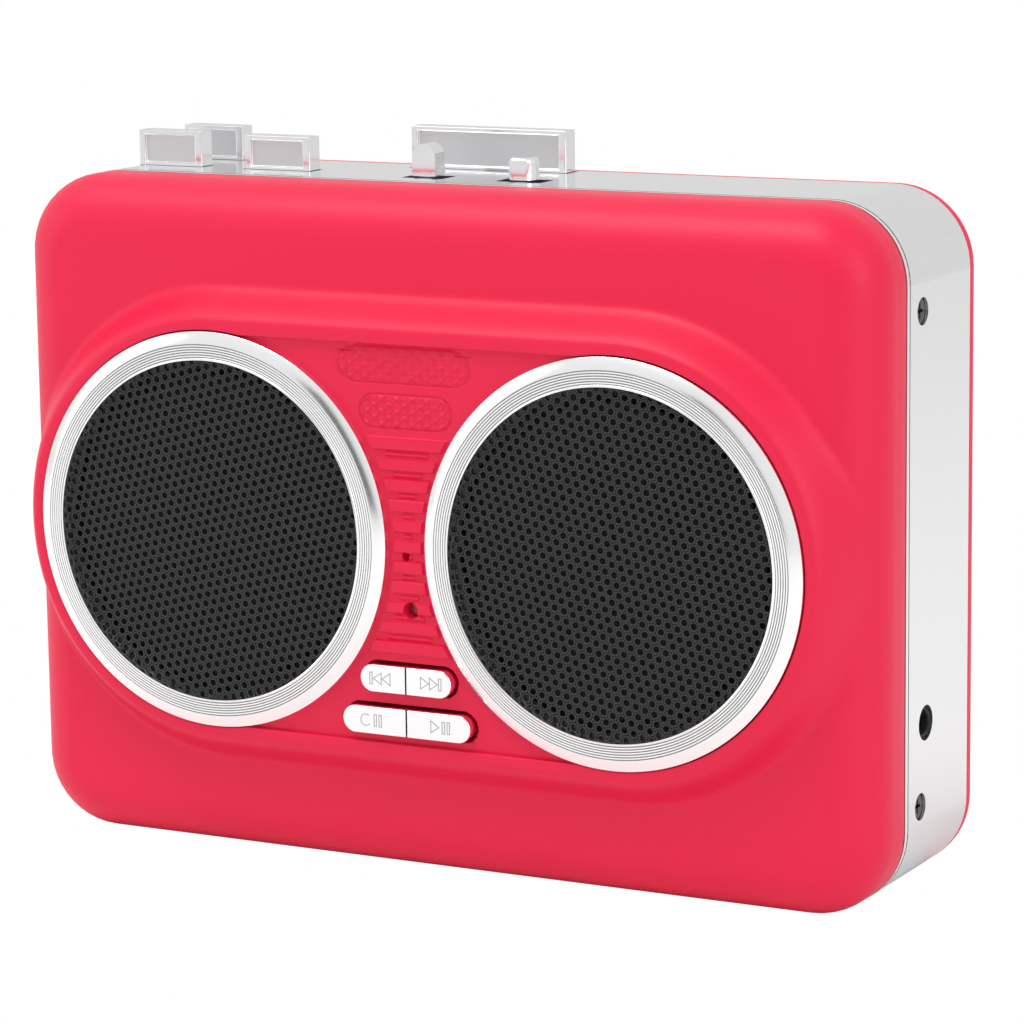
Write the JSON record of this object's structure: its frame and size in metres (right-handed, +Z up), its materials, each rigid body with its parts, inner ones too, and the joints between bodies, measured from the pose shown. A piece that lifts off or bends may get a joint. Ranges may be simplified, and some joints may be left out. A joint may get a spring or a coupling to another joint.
{
  "type": "cassette player",
  "caption": "Portable cassette player with twin round front speakers, chrome band, top keys, four front buttons and a hinged rear cassette door.",
  "frame": {"origin": "under the middle of the case on the surface it stands on, centred on the bounding box", "axes": "+X to the right seen from the speaker side, the speakers face -Y, +Z up"},
  "size_m": [0.12, 0.0396, 0.0919],
  "materials": {
    "red_shell": "satin crimson, fine grain",
    "chrome_band": "bright plated plastic",
    "key_chrome": "bright plated plastic",
    "ring_metal": "turned bright rim",
    "grille_steel": "black coated punched sheet",
    "black_plastic": "moulded",
    "cone_paper": "pressed paper",
    "bright_steel": "brushed",
    "dark_magnet": "plated",
    "board_green": "solder mask",
    "chip_black": "moulded",
    "rubber_black": "matt",
    "white_plastic": "moulded acetal",
    "brass_bush": "turned",
    "clear_window": "clear acrylic",
    "cell_wrap": "printed sleeve, no print",
    "lamp_lens": "clear epoxy",
    "screw_steel": "zinc plated",
    "dark_screw": "blackened"
  },
  "bodies": {
    "case": {"front_cover": "red_shell", "middle_frame": "chrome_band", "rear_cover": "red_shell", "door_hinge_pin": "bright_steel", "side_screws": "dark_screw", "inner_screws": "screw_steel", "tact_switches": "black_plastic", "button_board": "board_green", "indicator_lamp": "lamp_lens", "microphone": "bright_steel", "key_guide": "black_plastic", "slide_switches": "black_plastic", "main_board": "board_green", "board_chips": "chip_black", "audio_jack": "black_plastic", "battery_tray": "black_plastic", "battery_cells": "cell_wrap", "battery_contacts": "bright_steel", "deck_plate": "bright_steel", "cassette_well": "black_plastic", "capstan_bearing": "brass_bush", "motor_body": "bright_steel", "drive_belt": "rubber_black", "speaker_ring_left": "ring_metal", "speaker_grille_left": "grille_steel", "speaker_basket_left": "black_plastic", "speaker_cone_left": "cone_paper", "speaker_magnet_left": "dark_magnet", "speaker_ring_right": "ring_metal", "speaker_grille_right": "grille_steel", "speaker_basket_right": "black_plastic", "speaker_cone_right": "cone_paper", "speaker_magnet_right": "dark_magnet", "rewind_spring": "bright_steel", "forward_spring": "bright_steel", "stop_spring": "bright_steel", "play_spring": "bright_steel"},
    "rewind_key": {"rewind_key": "key_chrome"},
    "forward_key": {"forward_key": "key_chrome"},
    "stop_key": {"stop_key": "key_chrome"},
    "play_key": {"play_key": "key_chrome"},
    "previous_button": {"previous_button": "key_chrome"},
    "next_button": {"next_button": "key_chrome"},
    "loop_button": {"loop_button": "key_chrome"},
    "pause_button": {"pause_button": "key_chrome"},
    "function_knob": {"function_knob": "key_chrome"},
    "tone_knob": {"tone_knob": "key_chrome"},
    "head_carriage": {"head_plate": "bright_steel", "play_head": "bright_steel"},
    "pinch_lever": {"pinch_arm": "bright_steel"},
    "pinch_wheel": {"pinch_roller": "rubber_black"},
    "flywheel_rotor": {"flywheel": "bright_steel", "capstan_shaft": "bright_steel"},
    "motor_rotor": {"motor_pulley": "brass_bush"},
    "supply_reel": {"supply_spindle": "white_plastic"},
    "takeup_reel": {"takeup_spindle": "white_plastic"},
    "idler": {"takeup_idler": "white_plastic"},
    "door": {"cassette_door": "red_shell", "door_window": "clear_window"},
    "lid": {"battery_lid": "black_plastic"}
  },
  "joints": [
    {"name": "rewind_key_press", "type": "slide", "parent": "case", "child": "rewind_key", "axis": [0, 0, -1], "range_m": [0, 0.003], "stiffness_N_per_m": 300, "springref_m": -0.002, "deforming": ["rewind_spring"]},
    {"name": "forward_key_press", "type": "slide", "parent": "case", "child": "forward_key", "axis": [0, 0, -1], "range_m": [0, 0.003], "stiffness_N_per_m": 300, "springref_m": -0.002, "deforming": ["forward_spring"]},
    {"name": "stop_key_press", "type": "slide", "parent": "case", "child": "stop_key", "axis": [0, 0, -1], "range_m": [0, 0.003], "stiffness_N_per_m": 300, "springref_m": -0.002, "deforming": ["stop_spring"]},
    {"name": "play_key_press", "type": "slide", "parent": "case", "child": "play_key", "axis": [0, 0, -1], "range_m": [0, 0.0045], "stiffness_N_per_m": 300, "springref_m": -0.002, "deforming": ["play_spring"]},
    {"name": "previous_button_press", "type": "slide", "parent": "case", "child": "previous_button", "axis": [0, 1, 0], "range_m": [0, 0.0004], "stiffness_N_per_m": 800, "springref_m": -0.0003},
    {"name": "next_button_press", "type": "slide", "parent": "case", "child": "next_button", "axis": [0, 1, 0], "range_m": [0, 0.0004], "stiffness_N_per_m": 800, "springref_m": -0.0003},
    {"name": "loop_button_press", "type": "slide", "parent": "case", "child": "loop_button", "axis": [0, 1, 0], "range_m": [0, 0.0004], "stiffness_N_per_m": 800, "springref_m": -0.0003},
    {"name": "pause_button_press", "type": "slide", "parent": "case", "child": "pause_button", "axis": [0, 1, 0], "range_m": [0, 0.0004], "stiffness_N_per_m": 800, "springref_m": -0.0003},
    {"name": "function_knob_slide", "type": "slide", "parent": "case", "child": "function_knob", "axis": [1, 0, 0], "range_m": [-0.001, 0.001]},
    {"name": "tone_knob_slide", "type": "slide", "parent": "case", "child": "tone_knob", "axis": [1, 0, 0], "range_m": [-0.001, 0.001]},
    {"name": "head_slide", "type": "slide", "parent": "case", "child": "head_carriage", "axis": [0, 0, -1], "range_m": [0, 0.0045]},
    {"name": "pinch_swing", "type": "hinge", "parent": "case", "child": "pinch_lever", "pos_m": [0.036, 0.006, 0.074], "axis": [0, -1, 0], "range_deg": [0, 23.5]},
    {"name": "pinch_wheel_spin", "type": "hinge", "parent": "pinch_lever", "child": "pinch_wheel", "pos_m": [0.02219, 0.0113, 0.0763], "axis": [0, 1, 0], "continuous": true},
    {"name": "flywheel_spin", "type": "hinge", "parent": "case", "child": "flywheel_rotor", "pos_m": [0.022, 0, 0.066], "axis": [0, 1, 0], "continuous": true},
    {"name": "motor_spin", "type": "hinge", "parent": "case", "child": "motor_rotor", "pos_m": [-0.041, 0, 0.062], "axis": [0, 1, 0], "continuous": true},
    {"name": "idler_spin", "type": "hinge", "parent": "case", "child": "idler", "pos_m": [0.0217, 0.003, 0.0549], "axis": [0, 1, 0], "continuous": true},
    {"name": "takeup_spin", "type": "hinge", "parent": "case", "child": "takeup_reel", "pos_m": [0.02125, 0.003, 0.0378], "axis": [0, 1, 0], "continuous": true},
    {"name": "supply_spin", "type": "hinge", "parent": "case", "child": "supply_reel", "pos_m": [-0.02125, 0.003, 0.0378], "axis": [0, 1, 0], "continuous": true},
    {"name": "door_swing", "type": "hinge", "parent": "case", "child": "door", "pos_m": [0, 0.01835, 0.0084], "axis": [-1, 0, 0], "range_deg": [0, 80]},
    {"name": "lid_lift", "type": "slide", "parent": "case", "child": "lid", "axis": [0, 1, 0], "range_m": [0, 0.008]}
  ],
  "couplings": [
    {"joint": "head_slide", "follows": "play_key_press", "ratio": 1},
    {"joint": "pinch_swing", "follows": "play_key_press", "rad_per_m": 90.756},
    {"joint": "motor_spin", "follows": "flywheel_spin", "ratio": 5.4615},
    {"joint": "idler_spin", "follows": "flywheel_spin", "ratio": -0.3724},
    {"joint": "takeup_spin", "follows": "flywheel_spin", "ratio": 0.3333}
  ]
}
